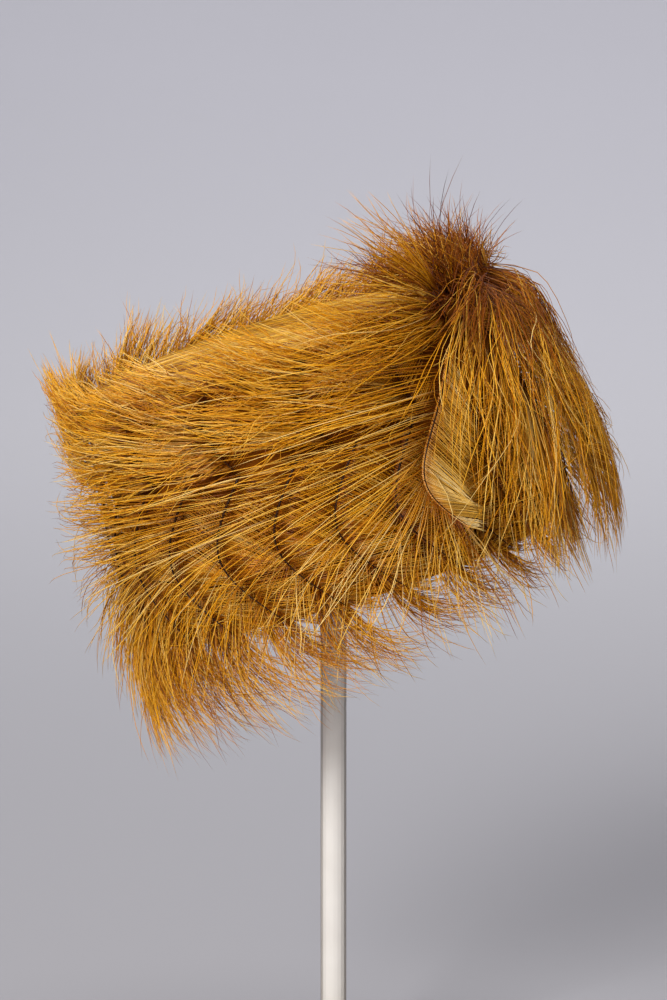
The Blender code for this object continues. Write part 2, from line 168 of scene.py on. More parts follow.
GOLD = dyed_feather(
    "dyed_gold_flue",
    ((0.0, "#7A3C00"), (0.25, "#C07404"), (0.5, "#ECA414"), (0.75, "#F4BE48"), (1.0, "#F6D080")),
    0.36,
    "#8E6234",
)
RUST = dyed_feather(
    "dyed_rust_flue",
    ((0.0, "#3A1400"), (0.3, "#6E3000"), (0.6, "#A85A04"), (0.85, "#DC9414"), (1.0, "#F4BE50")),
    0.42,
    "#8C5C34",
)
STRAW = dyed_feather(
    "dyed_straw_web",
    ((0.0, "#8A5606"), (0.3, "#C08A20"), (0.6, "#DEAA40"), (0.85, "#EEC468"), (1.0, "#F8DC9C")),
    0.34,
    "#C8A070",
)

print("feather materials:", [finish.name for finish in (GOLD, RUST, STRAW)])

# %% Make the quill's material
# Nine streaks of dye in a centimetre are drawn, coarser than real ones, so that some of them show.
QUILL_STREAK = 10 * MM / 9


def dark_quill():
    """Quills are solid keratin, dyed almost black and polished by handling."""
    made, tree, shader = new_material("dark_keratin_quill")
    place = add(tree, "ShaderNodeTexCoord")
    streaks = {"Vector": place.outputs["Object"], "Scale": 1 / QUILL_STREAK, "Detail": 2.0}
    grain = add(tree, "ShaderNodeTexNoise", streaks)
    darks = ((0.3, "#1E0C02"), (0.7, "#3C1C06"))
    colour = add(tree, "ShaderNodeValToRGB", {"Fac": grain.outputs["Fac"]}, darks)
    tree.links.new(colour.outputs["Color"], shader.inputs["Base Color"])
    shader.inputs["Roughness"].default_value = 0.42
    shader.inputs["IOR"].default_value = 1.55
    shader.inputs["Specular IOR Level"].default_value = 0.16
    return made


QUILL = dark_quill()
print("quill material:", QUILL.name)

# %% [markdown]
# ## From paths to flues
# Every flue is a three-sided needle along its path, closed at both ends. Thousands of them go into
# one mesh as arrays, because adding them one by one would take minutes. Half a millimetre is about a
# pixel wide, so three sides shaded smooth look round.

# %% Build needles from arrays of paths
SIDES = 3
TINY = 1e-12
# A flue lies within this of its tone on the map, so that its faces have some room there to be baked.
TONE_WIDTH = 0.004


def unit(vectors):
    return vectors / (np.linalg.norm(vectors, axis=-1, keepdims=True) + TINY)


def needle_faces(stations):
    """The quads along a needle, and the triangles of its root cap and round its point."""
    quads, tris = [], [list(range(SIDES))]
    last = SIDES * (stations - 2)
    for j in range(SIDES):
        n = (j + 1) % SIDES
        tris.append([last + j, last + SIDES, last + n])
    for low in range(0, last, SIDES):
        for j in range(SIDES):
            n = (j + 1) % SIDES
            quads.append([low + j, low + SIDES + j, low + SIDES + n, low + n])
    return np.array(quads), np.array(tris)


def needles(paths, outwards, radii, tones):
    """Vertices, faces and maps of needles.

    paths is (count, stations, 3), and its last station is the point. outwards is the same, roughly off
    the wall. radii is (count, stations) and tones (count).
    """
    count, stations, _ = paths.shape
    along = unit(np.gradient(paths, axis=1))
    side = unit(np.cross(along, outwards))
    up = np.cross(side, along)
    twist = chance.uniform(0, 2, count)[:, None, None, None]
    angle = (np.arange(SIDES) / SIDES * math.tau)[None, None, :, None] + twist
    ring = np.cos(angle) * up[:, :-1, None] + np.sin(angle) * side[:, :-1, None]
    ring = paths[:, :-1, None] + ring * radii[:, :-1, None, None]
    verts = np.concatenate([ring.reshape(count, -1, 3), paths[:, -1:]], axis=1)
    quads, tris = needle_faces(stations)
    start = (np.arange(count) * verts.shape[1])[:, None, None]
    reach = np.linspace(0.02, 0.98, stations)
    across = np.append(np.tile([-1.0, 0.0, 1.0], stations - 1), 0.0)
    length = np.append(np.repeat(reach[:-1], SIDES), reach[-1])
    maps = np.stack(np.broadcast_arrays(tones[:, None] + across * TONE_WIDTH, length[None]), axis=-1)
    quad_maps, tri_maps = maps[:, quads], maps[:, tris]
    # The root's cap is a line on the map until one of its corners moves to the map's edge.
    tri_maps[:, 0, 1, 1] = 0.0
    return {
        "verts": verts.reshape(-1, 3),
        "quads": (quads[None] + start).reshape(-1, 4),
        "tris": (tris[None] + start).reshape(-1, 3),
        "quad_maps": quad_maps.reshape(-1, 2),
        "tri_maps": tri_maps.reshape(-1, 2),
    }


print("faces of a needle with ten stations:", sum(len(faces) for faces in needle_faces(10)))

# %% Make one mesh of a feather
MAP_NAMES = ("strand", "OFBake")


def piece(name, parts, node):
    """Joins groups of needles, each with its material, into one mesh that stands for a node."""
    verts, corners, sizes, maps, kinds = [], [], [], [], []
    start = 0
    for number, (group, _) in enumerate(parts):
        verts.append(group["verts"])
        for key, size in (("quad", 4), ("tri", 3)):
            faces = group[key + "s"]
            corners.append((faces + start).ravel())
            sizes.append(np.full(len(faces), size))
            kinds.append(np.full(len(faces), number))
            maps.append(group[key + "_maps"])
        start += len(group["verts"])
    verts, corners, sizes = np.concatenate(verts), np.concatenate(corners), np.concatenate(sizes)
    mesh = bpy.data.meshes.new(name)
    mesh.vertices.add(len(verts))
    mesh.vertices.foreach_set("co", verts.astype(np.float32).ravel())
    mesh.loops.add(len(corners))
    mesh.loops.foreach_set("vertex_index", corners.astype(np.int32))
    mesh.polygons.add(len(sizes))
    begin = np.concatenate([[0], np.cumsum(sizes)[:-1]]).astype(np.int32)
    mesh.polygons.foreach_set("loop_start", begin)
    mesh.polygons.foreach_set("material_index", np.concatenate(kinds).astype(np.int32))
    mesh.polygons.foreach_set("use_smooth", np.ones(len(sizes), dtype=bool))
    flat = np.concatenate(maps).astype(np.float32).ravel()
    for layer in MAP_NAMES:
        mesh.uv_layers.new(name=layer).uv.foreach_set("vector", flat)
    for _, finish in parts:
        mesh.materials.append(finish)
    mesh.update(calc_edges=True)
    made = bpy.data.objects.new(name, mesh)
    bpy.context.scene.collection.objects.link(made)
    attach(made, "root")
    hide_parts(node)
    made["triangles"] = int(((sizes == 4) + 1).sum())
    return made


def leaning_needles(points, outer, radii, tones):
    """Needles along points of the upright hat. outer is the same, further off the wall."""
    return needles(lean(points), lean(outer) - lean(points), radii, tones)


print("maps of each mesh:", MAP_NAMES)

# %% [markdown]
# ## One feather, laid flat
# A hooked feather has a quill bent in a C. On the outside of the bend the flues are long and loose,
# because the maker has stripped or singed them, and on the inside they are short and close. The flues
# leave the quill at an angle and curl a little. A table for each kind of feather gives the angle, the
# length and the curl from root to tip, and the flues between are read from it.

# %% Lay out quills
HOOK_BEND = 18 * MM
HOOK_OPEN = 0.95
FALL_SLANT = 0.12
FALL_BOW = 1.2


def hooked(above, below, share):
    """Points and headings of a hooked quill at these shares of its length, with its bend at (0, 0)."""
    rise = above - (above + below) * share
    size = np.hypot(HOOK_BEND, HOOK_OPEN * rise)
    heading = np.stack([-(HOOK_OPEN**2) * rise / size, -np.ones_like(rise)], axis=-1)
    return np.stack([size - HOOK_BEND, rise], axis=-1), unit(heading)


def falling(above, below, share):
    """The same for a nearly straight quill that bows to the right as it comes down."""
    rise = above - (above + below) * share
    heading = np.stack([FALL_SLANT + 2 * FALL_BOW * rise, -np.ones_like(rise)], axis=-1)
    return np.stack([-FALL_SLANT * rise - FALL_BOW * rise * rise, rise], axis=-1), unit(heading)


root, _ = hooked(35 * MM, 38 * MM, np.zeros(1))
print("a hook's root lies off its bend, mm:", (root[0] / MM).round(1))

# %% Lay out flues
LEFT, RIGHT = 1, -1


def column(rows, name, share):
    return np.interp(share, [row["share"] for row in rows], [row[name] for row in rows])


def flues(quill, flow, side, share, steps, loose):
    """Flat paths of the flues at these shares of a quill, on its left or its right.

    loose holds what each flue does of its own: an angle and a curl to add, in degrees, and a share of
    length. A flue is an arc of a circle, and sinc gives the chord from its root to each step.
    """
    root, heading = quill(share)
    angle = np.radians(column(flow, "angle", share) + loose["angle"])[:, None]
    bend = np.radians(column(flow, "curl", share) + loose["curl"])[:, None] * steps / 2
    length = (column(flow, "length", share) * MM * loose["length"])[:, None]
    chord = length * steps * np.sinc(bend / math.pi)
    turn = side * (bend - angle)
    cos, sin = np.cos(turn), np.sin(turn)
    x, y = heading[:, :1], heading[:, 1:]
    path = np.stack([x * cos - y * sin, x * sin + y * cos], axis=-1) * chord[..., None]
    return root[:, None] + path


halves = np.array([0.0, 0.5, 1.0])
web = ({"share": 0.0, "length": 30}, {"share": 1.0, "length": 16})
print("a table with two rows gives the lengths:", column(web, "length", halves))

# %% [markdown]
# ## Locks and stray flues
# Loose flues never lie evenly. They cling together in small locks that wave the same way, a few cross
# the others, and some stand off the wall. So each flue is drawn towards the middle flue of its lock,
# and then gets a little of its own: an angle, a curl, a length, a wave, and how straight it flies
# where the wall curves away beneath it.

# %% Give each flue its own ways
USUAL = {
    "locks": 20,
    "cling": 0.5,
    "wild": 1.5,
    "short": 0.5,
    "stand": 0.0,
    "crowd": 1.0,
    "fly": 0.08,
    "most": 11,
}
STRAY_SHARE = 0.05
OWN_DEGREES = {"angle": 2.0, "curl": 7}
STRAY_DEGREES = {"angle": 13, "curl": 30}


def own_loose(count, wild, short):
    """What each flue does of its own, and which of them stray."""
    broken = chance.random(count) < short
    stray = chance.random(count) < STRAY_SHARE * wild
    loose = {}
    for key in ("angle", "curl"):
        loose[key] = chance.normal(0, OWN_DEGREES[key] * wild, count)
        loose[key] = loose[key] + stray * chance.normal(0, STRAY_DEGREES[key], count)
    whole = {"short": chance.uniform(0.5, 0.85, count), "long": chance.uniform(0.85, 1.06, count)}
    loose["length"] = np.where(broken, whole["short"], whole["long"])
    return loose, stray


def off_wall(paths, steps, stray, ways):
    """How far off the wall each point is. A flue stands up from it and flies on where it curves away."""
    count, wild, most = len(paths), ways["wild"], ways["most"] * MM
    run = np.linalg.norm(np.diff(paths, axis=1), axis=-1).sum(axis=1)[:, None] * steps
    fly = np.abs(chance.normal(ways["fly"], 0.14 * wild, count)) + stray * chance.uniform(0.1, 0.5, count)
    slope = ways["stand"] + np.abs(chance.normal(0, 0.03 * wild, count))
    slope = slope + stray * chance.uniform(0, 0.25, count)
    curved = (paths[..., 0] - paths[:, :1, 0]) ** 2 / (2 * MEAN_RADIUS)
    return most * np.tanh((fly[:, None] * curved + slope[:, None] * run) / most)


print("usual ways:", USUAL)

# %% Comb the flues of one side of a feather
WAVE_HEIGHT = 1.2 * MM
WAVE_ANGLE = 8.5
OWN_TONE = 0.17
LOCK_TONE = 0.13


def combed(quill, flow, side, count, stations, tone, **own_ways):
    """Flat paths, how far off the wall each point is, and tones, for the flues of one side of a feather.

    The ways have usual values. locks is their number, and cling how much the flues of one keep together.
    short is the share of broken flues, and wild says how unruly all of them are. stand is the slope at
    which they leave the wall, and fly how straight they run where it curves away, up to most millimetres
    off it. crowd below 1 sets them closer towards the tip of the quill, and above 1 towards its root.
    """
    ways = dict(USUAL, **own_ways)
    locks, wild = ways["locks"], ways["wild"]
    share = ((np.arange(count) + chance.uniform(0.1, 0.9, count)) / count) ** ways["crowd"]
    steps = np.linspace(0, 1, stations)[None]
    loose, stray = own_loose(count, wild, ways["short"])
    paths = flues(quill, flow, side, share, steps, loose)
    edges = np.sort(chance.uniform(0, 1, locks))
    lock = np.searchsorted(edges, share)
    middle = (np.append(edges, 1.0)[lock] + np.insert(edges, 0, 0.0)[lock]) / 2
    own = chance.normal(0, 1, (locks + 1, 3))[lock]
    shared = dict(loose, angle=loose["angle"] * 0.3 + own[:, 0] * 3.0 * wild, curl=loose["curl"] * 0.5)
    drawn = flues(quill, flow, side, middle, steps, shared)
    pull = chance.uniform(0.2, 1.0, locks + 1)[lock] * ways["cling"] * ~stray
    paths = paths + (drawn - paths) * (pull[:, None] * steps**1.6)[..., None]
    along = unit(np.gradient(paths, axis=1))
    across = np.stack([-along[..., 1], along[..., 0]], axis=-1)
    phase = own[:, 1:2] + chance.normal(0, 0.5, (count, 1))
    size = (0.6 + own[:, 2:3] * 0.7) * WAVE_HEIGHT * min(wild, 2.0)
    paths = paths + across * (np.sin(steps * WAVE_ANGLE + phase * 3) * steps * size)[..., None]
    off = off_wall(paths, steps, stray, ways)
    tones = tone + chance.normal(0, OWN_TONE, count) + own[:, 1] * LOCK_TONE
    return paths, steps, off, np.clip(tones, 0.02, 0.98)


print("waves along one flue:", round(WAVE_ANGLE / math.tau, 2))

# %% Make needles of flues and quills
QUILL_STATIONS = 24
QUILL_NEEDLES = 4


def flue_group(place, combed_flues, radius, depth, thin=0.6):
    """Wraps combed flues on the drum and makes needles of them.

    radius is that of a flue's root, depth how thick the layer of flues is, and thin how much narrower a
    flue is at its point.
    """
    paths, steps, off, tones = combed_flues
    count = len(paths)
    layer = chance.uniform(0, 1, count)[:, None] * depth * np.minimum(steps * 5, 1)
    points = place(paths[..., 0], paths[..., 1], off + layer)
    outer = place(paths[..., 0], paths[..., 1], off + layer + MM)
    radii = radius * chance.uniform(0.7, 1.25, count)[:, None] * (1.0 - thin * steps**1.5)
    return leaning_needles(points, outer, radii, tones)


def quill_group(place, quill, radius, rise=1.6 * MM):
    """The quill itself. Needles in one place, each turned by chance, give it a round section."""
    share = np.linspace(0, 1, QUILL_STATIONS)
    flat, _ = quill(share)
    lifts = np.full(QUILL_STATIONS, rise)
    points = np.repeat(place(flat[:, 0], flat[:, 1], lifts)[None], QUILL_NEEDLES, axis=0)
    outer = np.repeat(place(flat[:, 0], flat[:, 1], lifts + MM)[None], QUILL_NEEDLES, axis=0)
    radii = radius * (1.0 - 0.65 * share)[None] * np.ones((QUILL_NEEDLES, 1))
    return leaning_needles(points, outer, radii, np.full(QUILL_NEEDLES, 0.5))


print("sides of a quill:", SIDES * QUILL_NEEDLES)

# %% [markdown]
# ## The lower ring
# Twenty-four hooked feathers go round the lower wall. Each sheet of flues rises a little to its left,
# so that the next feather's flues lie over it like tiles. The flues are few, a millimetre or more
# apart, and the dark hooks and the fine webs show between them. Finer ones hang from each hook's
# lower end as a fringe, which is longest on the left, and at the left end flues stand well off the
# wall.

# %% Set out the lower ring
SEAM_HEIGHT = 12 * MM
RING_SLOPE = 0.139
RING_LIFT = 5.2 * MM
UPRIGHT, UPSIDE_DOWN = 1, -1
LOWER_COUNT = 24
LOWER_SHIFT = 2.5 * MM
LOWER_HEIGHT = SEAM_HEIGHT - 36 * MM
FRINGE_FROM = 0.79
LEFT_FRONT = {"towards": -55, "width": 38}
LEFT_END = {"towards": -84, "width": 26}
LOWER_FLOW = (
    {"share": 0.00, "angle": 58, "length": 72, "curl": 8},
    {"share": 0.25, "angle": 60, "length": 86, "curl": 10},
    {"share": 0.50, "angle": 60, "length": 88, "curl": 14},
    {"share": 0.75, "angle": 50, "length": 76, "curl": 26},
    {"share": 0.90, "angle": 36, "length": 66, "curl": 52},
    {"share": 1.00, "angle": 22, "length": 60, "curl": 84},
)
WEB_FLOW = (
    {"share": 0.00, "angle": 92, "length": 30, "curl": 14},
    {"share": 0.20, "angle": 86, "length": 38, "curl": 12},
    {"share": 0.60, "angle": 66, "length": 40, "curl": 10},
    {"share": 0.85, "angle": 46, "length": 32, "curl": 6},
    {"share": 1.00, "angle": 26, "length": 16, "curl": 4},
)
FRINGE_FLOW = (
    {"share": 0.00, "angle": 52, "length": 62, "curl": 66},
    {"share": 0.50, "angle": 36, "length": 58, "curl": 70},
    {"share": 1.00, "angle": 14, "length": 46, "curl": 50},
)
TURNED_FLOW = (
    {"share": 0.00, "angle": 34, "length": 40, "curl": -20},
    {"share": 0.50, "angle": 30, "length": 46, "curl": -40},
    {"share": 1.00, "angle": 16, "length": 44, "curl": -60},
)


def ring_place(along, height, flip):
    """Wraps a feather of a ring at its place on the wall. Its sheet rises to its left."""

    def place(x, y, off):
        return on_wall(along + x, height + flip * y, RING_LIFT - RING_SLOPE * x + off)

    return place


def lower_quill(share):
    return hooked(35 * MM, 38 * MM, share)


def low_end(share):
    """The last fifth of the quill, where the flues of the fringe grow."""
    return lower_quill(FRINGE_FROM + (1 - FRINGE_FROM) * share)


def scaled(flow, reach, angle=0.0):
    """A table with its lengths scaled and its angles turned."""
    return [dict(row, length=row["length"] * reach, angle=row["angle"] + angle) for row in flow]


def facing(turn, towards, width):
    """1 for a feather that faces these degrees round the wall, falling to 0 on both sides."""
    return math.exp(-(((math.degrees(turn) - towards) / width) ** 2))


print("lower feathers lie apart, mm:", round(MEAN_RADIUS * math.tau / LOWER_COUNT / MM, 1))

# %% Grow the lower ring


def lower_feather(along):
    """The groups of needles of one lower feather."""
    place = ring_place(along, LOWER_HEIGHT, UPRIGHT)
    turn = along / MEAN_RADIUS
    to_left = 0.5 - 0.5 * math.sin(turn)
    flight, beside = facing(turn, **LEFT_FRONT), facing(turn, **LEFT_END)
    flow = scaled(LOWER_FLOW, 0.72 + 0.28 * to_left, chance.normal(0, 3))
    ways = {"wild": 1.1, "short": 0.6, "crowd": 0.85, "fly": 0.08 + 0.55 * flight, "most": 11 + 19 * flight}
    outer = combed(lower_quill, flow, LEFT, round(46 + 50 * flight), stations=10, tone=0.6, **ways)
    ways = {"locks": 12, "cling": 0.1, "wild": 0.25, "short": 0.0}
    inner = combed(lower_quill, WEB_FLOW, RIGHT, count=150, stations=5, tone=0.44, **ways)
    # The fringe gets a low tone, a painted shade for the underside of the hat, which the light from above
    # reaches less.
    fringe = scaled(FRINGE_FLOW, 0.5 + 0.82 * to_left, chance.normal(0, 4))
    ways = {"wild": 2.8, "stand": 0.06, "fly": 0.2 + 0.5 * flight, "most": 10 + 14 * flight}
    hanging = combed(low_end, fringe, LEFT, round(58 + 64 * to_left), stations=8, tone=0.32, **ways)
    ways = {"wild": 1.5, "stand": 0.34, "fly": 0.5, "most": 24}
    flow = scaled(LOWER_FLOW, 0.62)
    standing = combed(lower_quill, flow, LEFT, 6 + round(90 * beside), stations=8, tone=0.5, **ways)
    ways = {"wild": 2.6, "stand": 0.05}
    many = round(26 + 30 * (1 - to_left))
    turned = combed(low_end, TURNED_FLOW, RIGHT, many, stations=8, tone=0.55, **ways)
    return (
        (flue_group(place, outer, radius=0.29 * MM, depth=1.2 * MM), GOLD),
        (flue_group(place, inner, radius=0.27 * MM, depth=0.3 * MM, thin=0.3), GOLD),
        (flue_group(place, hanging, radius=0.21 * MM, depth=3.0 * MM), GOLD),
        (flue_group(place, turned, radius=0.19 * MM, depth=2.0 * MM), GOLD),
        (flue_group(place, standing, radius=0.24 * MM, depth=2.0 * MM), GOLD),
        (quill_group(place, lower_quill, radius=0.64 * MM, rise=(5.6 - 3.6 * beside) * MM), QUILL),
    )


total = 0
for k in range(LOWER_COUNT):
    parts = lower_feather(MEAN_RADIUS * math.tau * (k / LOWER_COUNT - 0.5) + LOWER_SHIFT)
    node = f"lower_feather_{k + 1:02d}"
    made = piece(node + "_flues", parts, node)
    total += made["triangles"]
print("lower ring triangles:", total)

# %% [markdown]
# ## The upper ring
# The feathers under the crown's edge are the same, turned upside down, so that their flues run up to
# the edge and along it. On the front some lie across the others. Short ragged flues are rooted on a
# line under the edge, so that it ends in a fringe and not in a clean curve.

# %% Set out the upper ring
UPPER_SLOTS = 14
UPPER_SHIFT = 3 * MM
UPPER_HEIGHT = SEAM_HEIGHT + 22 * MM
UPPER_FREE = (9, 10, 11)
UPPER_UPRIGHT = (12,)
UPPER_LEFT = {"towards": -62, "width": 34}
UPPER_FRONT = {"towards": -20, "width": 60}
RIM_LINE_WIDTH = 52 * MM
RIM_LINE_RISE = 20 * MM
RIM_FLOW = (
    {"share": 0.00, "angle": 50, "length": 70, "curl": 2},
    {"share": 0.25, "angle": 58, "length": 82, "curl": 4},
    {"share": 0.50, "angle": 68, "length": 76, "curl": 4},
    {"share": 0.75, "angle": 86, "length": 62, "curl": 4},
    {"share": 1.00, "angle": 100, "length": 50, "curl": 4},
)
UPRIGHT_FLOW = (
    {"share": 0.00, "angle": 36, "length": 54, "curl": 4},
    {"share": 0.50, "angle": 40, "length": 50, "curl": 8},
    {"share": 1.00, "angle": 24, "length": 34, "curl": 10},
)
RIM_EDGE_FLOW = (
    {"share": 0.00, "angle": 42, "length": 25, "curl": 26},
    {"share": 1.00, "angle": 34, "length": 25, "curl": 20},
)
ACROSS_FLOW = (
    {"share": 0.00, "angle": 60, "length": 40, "curl": 0},
    {"share": 1.00, "angle": 120, "length": 34, "curl": 10},
)
EDGE_FLOW = (
    {"share": 0.00, "angle": 70, "length": 80, "curl": 4},
    {"share": 0.50, "angle": 80, "length": 82, "curl": 4},
    {"share": 1.00, "angle": 62, "length": 68, "curl": 4},
)


def upper_quill(share):
    return hooked(21 * MM, 22 * MM, share)


def edge_quill(share):
    return hooked(11 * MM, 10 * MM, share)


def rim_line(share):
    """A line along the crown's edge, as wide as the space of one feather, to root short flues on."""
    x = (0.5 - share) * RIM_LINE_WIDTH
    return np.stack([x, np.full_like(x, -RIM_LINE_RISE)], axis=-1), np.tile([-1.0, 0.0], (len(x), 1))


print("upper feathers:", UPPER_SLOTS - len(UPPER_FREE))

# %% Grow the upper ring


def upper_feather(along, flow):
    """The groups of needles of one upper feather."""
    place = ring_place(along, UPPER_HEIGHT, UPSIDE_DOWN)
    turn = along / MEAN_RADIUS
    flight, in_front = facing(turn, **UPPER_LEFT), facing(turn, **UPPER_FRONT)
    behind = 0.5 - 0.5 * math.cos(turn)
    reach = chance.uniform(0.82, 0.98) - 0.2 * flight
    flow = scaled(flow, reach, chance.normal(0, 4) - 8 * in_front)
    ways = {"locks": 30, "wild": 1.5, "short": 0.35, "fly": 0.08 + 0.3 * flight, "most": 10 + 6 * flight}
    outer = combed(upper_quill, flow, LEFT, count=230, stations=10, tone=0.54, **ways)
    flow = scaled(RIM_EDGE_FLOW, 0.95 + 0.5 * behind, 12 * behind)
    ways = {"locks": 34, "wild": 4.0, "short": 0.7, "stand": 0.1}
    ragged = combed(rim_line, flow, RIGHT, round(90 + 60 * behind), stations=7, tone=0.5, **ways)
    ways = {"cling": 0.1, "wild": 0.3, "short": 0.0}
    inner = combed(upper_quill, scaled(WEB_FLOW, 0.6), RIGHT, count=60, stations=4, tone=0.36, **ways)
    ways = {"locks": 30, "wild": 3.5, "stand": 0.12, "cling": 0.2}
    across = combed(upper_quill, ACROSS_FLOW, LEFT, round(20 + 46 * in_front), stations=8, tone=0.5, **ways)
    return (
        (flue_group(place, outer, radius=0.28 * MM, depth=3.2 * MM), GOLD),
        (flue_group(place, inner, radius=0.27 * MM, depth=0.3 * MM, thin=0.5), GOLD),
        (flue_group(place, across, radius=0.24 * MM, depth=3.6 * MM), GOLD),
        (flue_group(place, ragged, radius=0.24 * MM, depth=2.6 * MM), GOLD),
        (quill_group(place, upper_quill, radius=0.3 * MM, rise=0.8 * MM), QUILL),
    )


total = 0
number = 0
for k in range(UPPER_SLOTS):
    if k in UPPER_FREE:
        continue
    number += 1
    along = MEAN_RADIUS * math.tau * (k / UPPER_SLOTS - 0.5) + UPPER_SHIFT
    parts = upper_feather(along, UPRIGHT_FLOW if k in UPPER_UPRIGHT else RIM_FLOW)
    node = f"upper_feather_{number:02d}"
    made = piece(node + "_flues", parts, node)
    total += made["triangles"]
print("upper ring triangles:", total)

# %% Grow the small feather at the edge
EDGE_TURN, EDGE_HEIGHT = 47, 56 * MM
EDGE_FRINGE_TURN = 44

place = ring_place(MEAN_RADIUS * math.radians(EDGE_TURN), EDGE_HEIGHT, UPSIDE_DOWN)
outer = combed(edge_quill, EDGE_FLOW, LEFT, count=240, stations=10, tone=0.42, wild=2.4, stand=0.03)
below = ring_place(MEAN_RADIUS * math.radians(EDGE_FRINGE_TURN), UPPER_HEIGHT, UPSIDE_DOWN)
ways = {"wild": 3.0, "short": 0.7, "stand": 0.06}
ragged = combed(rim_line, scaled(RIM_EDGE_FLOW, 1.3, -14), RIGHT, count=150, stations=8, tone=0.42, **ways)
parts = (
    (flue_group(place, outer, radius=0.26 * MM, depth=3.4 * MM), GOLD),
    (flue_group(below, ragged, radius=0.26 * MM, depth=3.4 * MM), RUST),
    (quill_group(place, edge_quill, radius=0.4 * MM), QUILL),
)
made = piece("edge_feather_flues", parts, "edge_feather")
print("edge feather triangles:", made["triangles"])

# %% [markdown]
# ## The feathers laid over the rings
# One larger hooked feather lies on the front with its pale web in full view. At the right end three
# nearly straight ones hang from the crown's edge, and their flues fall over each other like a
# curtain.

# %% Set out the feathers over the rings
FRONT_LIFT = 22.5 * MM
FRONT_TURN, FRONT_HEIGHT = 22, -16 * MM
END_LIFT = 7 * MM
END_HEIGHT = 6 * MM
END_TOP = 50 * MM
END_RISE = 0.40
END_EASE = 2.6
OVER_SLOPE = 0.085
OVER_END_FROM = 16
OVER_END_FULL = 50


def over_place(along, height):
    """Wraps a feather over the rings: well off the wall in front, and close to it at the right end."""

    def place(x, y, off):
        turn = np.degrees((along + x) / MEAN_RADIUS)
        drop = np.maximum(END_TOP - (height + y), 0)
        end = END_LIFT + END_RISE * drop - END_EASE * drop * drop
        part = np.clip((turn - OVER_END_FROM) / (OVER_END_FULL - OVER_END_FROM), 0, 1)
        lift = FRONT_LIFT + (end - FRONT_LIFT) * part - OVER_SLOPE * x
        return on_wall(along + x, height + y, lift + off)

    return place


lift = over_place(0, 0)(np.zeros(1), np.zeros(1), np.zeros(1))[0]
print("the front feather lies off the wall, mm:", round((-lift[1] / OVAL - HALF_LENGTH_TOP) / MM))

# %% Grow the front feather
FRONT_FLOW = (
    {"share": 0.00, "angle": 68, "length": 84, "curl": 10},
    {"share": 0.30, "angle": 58, "length": 90, "curl": 12},
    {"share": 0.60, "angle": 48, "length": 86, "curl": 12},
    {"share": 0.85, "angle": 36, "length": 74, "curl": 12},
    {"share": 1.00, "angle": 20, "length": 58, "curl": 16},
)
FRONT_WEB_FLOW = (
    {"share": 0.00, "angle": 56, "length": 12, "curl": 8},
    {"share": 0.20, "angle": 68, "length": 30, "curl": 10},
    {"share": 0.55, "angle": 60, "length": 36, "curl": 10},
    {"share": 0.80, "angle": 40, "length": 28, "curl": 6},
    {"share": 1.00, "angle": 18, "length": 10, "curl": 2},
)


def front_quill(share):
    return hooked(54 * MM, 26 * MM, share)


place = over_place(MEAN_RADIUS * math.radians(FRONT_TURN), FRONT_HEIGHT)
ways = {"locks": 26, "cling": 0.35, "wild": 1.1, "short": 0.5}
outer = combed(front_quill, FRONT_FLOW, LEFT, count=96, stations=10, tone=0.6, **ways)
ways = {"cling": 0.15, "wild": 0.3, "short": 0.0}
inner = combed(front_quill, FRONT_WEB_FLOW, RIGHT, count=170, stations=5, tone=0.7, **ways)
parts = (
    (flue_group(place, outer, radius=0.27 * MM, depth=1.6 * MM), GOLD),
    (flue_group(place, inner, radius=0.26 * MM, depth=0.3 * MM, thin=0.4), STRAW),
    (quill_group(place, front_quill, radius=0.62 * MM, rise=2.6 * MM), QUILL),
)
made = piece("front_feather_flues", parts, "front_feather")
print("front feather triangles:", made["triangles"])

# %% Grow the end feathers
FALL_LEFT_FLOW = (
    {"share": 0.00, "angle": 106, "length": 80, "curl": 92},
    {"share": 0.20, "angle": 76, "length": 92, "curl": 66},
    {"share": 0.45, "angle": 50, "length": 90, "curl": 38},
    {"share": 0.80, "angle": 34, "length": 74, "curl": 14},
    {"share": 1.00, "angle": 24, "length": 60, "curl": 2},
)
FALL_RIGHT_FLOW = (
    {"share": 0.00, "angle": 66, "length": 60, "curl": 50},
    {"share": 0.20, "angle": 48, "length": 76, "curl": 34},
    {"share": 0.45, "angle": 36, "length": 96, "curl": 16},
    {"share": 0.80, "angle": 30, "length": 86, "curl": 4},
    {"share": 1.00, "angle": 24, "length": 68, "curl": -4},
)
STAND_OFF_FLOW = (
    {"share": 0.00, "angle": 70, "length": 14, "curl": 10},
    {"share": 0.50, "angle": 52, "length": 28, "curl": -10},
    {"share": 1.00, "angle": 34, "length": 56, "curl": -16},
)
END_FEATHERS = (
    {"name": "end_feather_1", "turn": 59, "above": 45, "below": 34},
    {"name": "end_feather_2", "turn": 77, "above": 46, "below": 34},
    {"name": "end_feather_3", "turn": 94, "above": 46, "below": 34},
)
total = 0
